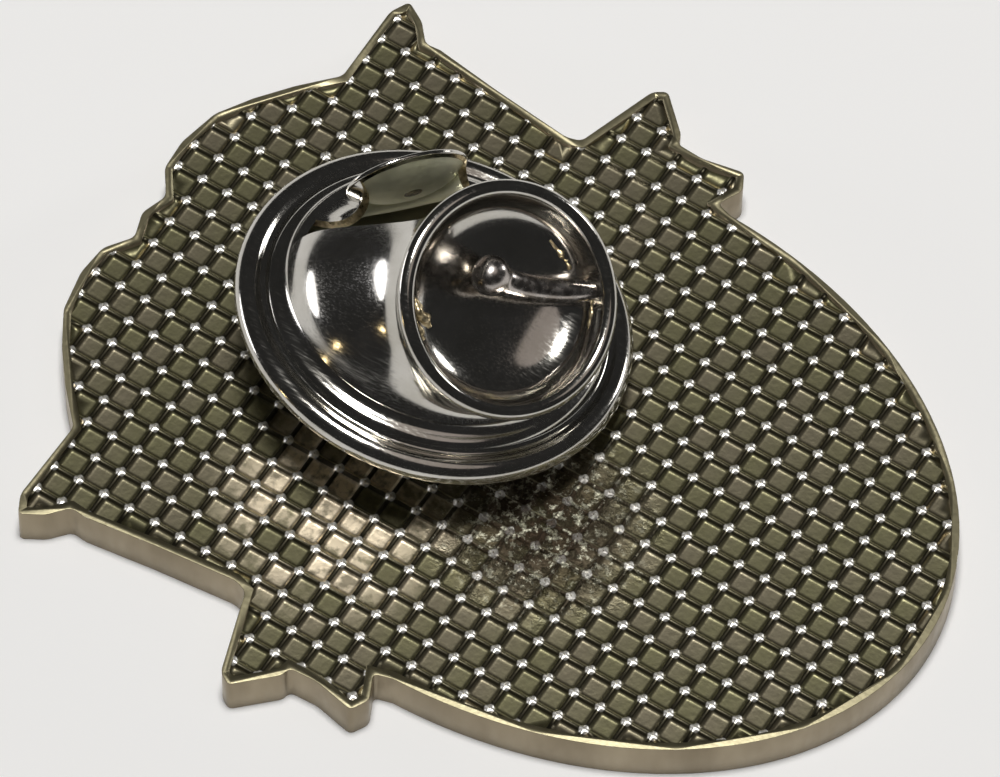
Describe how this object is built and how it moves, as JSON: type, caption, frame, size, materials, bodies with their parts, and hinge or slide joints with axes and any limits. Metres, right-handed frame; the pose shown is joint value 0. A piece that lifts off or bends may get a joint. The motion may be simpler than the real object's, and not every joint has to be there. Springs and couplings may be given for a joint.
{
  "type": "cap badge",
  "caption": "Crest-shaped metal badge with enamel front and waffle back, held by a butterfly clutch on a soldered post.",
  "frame": {"origin": "middle of the badge's outline, on the plane of the raised metal lines of its front, which it lies on", "axes": "+X from the crown-like head to the round end, +Y to its right side as the back is seen with the head up, +Z the way the back faces"},
  "size_m": [0.0263, 0.0232, 0.0089],
  "materials": {
    "plate_metal": "antique pale brass plate, satin",
    "enamel_blue": "baked enamel paint",
    "enamel_cream": "baked enamel paint",
    "enamel_red": "baked enamel paint",
    "post_metal": "nickel plated",
    "solder": "dull, rough",
    "clutch_nickel": "polished nickel",
    "spring_wire": "bright drawn wire"
  },
  "bodies": {
    "badge": {"badge_plate": "plate_metal", "enamel_field": "enamel_blue", "enamel_border": "enamel_cream", "enamel_band": "enamel_red", "enamel_lobe_left": "enamel_red", "enamel_lobe_right": "enamel_red", "enamel_spike_left": "enamel_blue", "enamel_spike_right": "enamel_blue", "enamel_ribbon_left": "enamel_cream", "enamel_ribbon_right": "enamel_cream", "pin_post": "post_metal", "solder_fillet": "solder"},
    "clutch_disc": {"clutch_base": "clutch_nickel"},
    "clutch": {"clutch_shell": "clutch_nickel", "spring_bow": "spring_wire"},
    "wing_a": {"wing_near": "clutch_nickel", "spring_tail_near": "spring_wire"},
    "wing_b": {"wing_far": "clutch_nickel", "spring_tail_far": "spring_wire"},
    "leg_a": {"spring_leg_near": "spring_wire"},
    "leg_b": {"spring_leg_far": "spring_wire"}
  },
  "joints": [
    {"name": "clutch_pull", "type": "slide", "parent": "badge", "child": "clutch_disc", "axis": [0.1423, 0.2192, 0.9652], "range_m": [0, 0.008]},
    {"name": "clutch_turn", "type": "hinge", "parent": "clutch_disc", "child": "clutch", "pos_m": [-0.00331, 0.00055, 0.0034], "axis": [0.1423, 0.2192, 0.9652], "continuous": true},
    {"name": "wing_a_squeeze", "type": "hinge", "parent": "clutch", "child": "wing_a", "pos_m": [0.00009, -0.00146, 0.00439], "axis": [-0.5474, -0.795, 0.2613], "range_deg": [0, 4], "stiffness_Nm_per_rad": 0.0005},
    {"name": "wing_b_squeeze", "type": "hinge", "parent": "clutch", "child": "wing_b", "pos_m": [-0.00642, 0.00301, 0.00434], "axis": [0.5474, 0.795, -0.2613], "range_deg": [0, 4], "stiffness_Nm_per_rad": 0.0005},
    {"name": "leg_a_open", "type": "hinge", "parent": "clutch", "child": "leg_a", "pos_m": [-0.00408, -0.00208, 0.00469], "axis": [-0.1423, -0.2192, -0.9652], "range_deg": [0, 5], "stiffness_Nm_per_rad": 0.00002},
    {"name": "leg_b_open", "type": "hinge", "parent": "clutch", "child": "leg_b", "pos_m": [-0.00549, -0.0011, 0.00468], "axis": [0.1423, 0.2192, 0.9652], "range_deg": [0, 5], "stiffness_Nm_per_rad": 0.00002}
  ],
  "couplings": [
    {"joint": "wing_b_squeeze", "follows": "wing_a_squeeze", "ratio": 1},
    {"joint": "leg_a_open", "follows": "wing_a_squeeze", "ratio": 1.25},
    {"joint": "leg_b_open", "follows": "wing_a_squeeze", "ratio": 1.25}
  ]
}
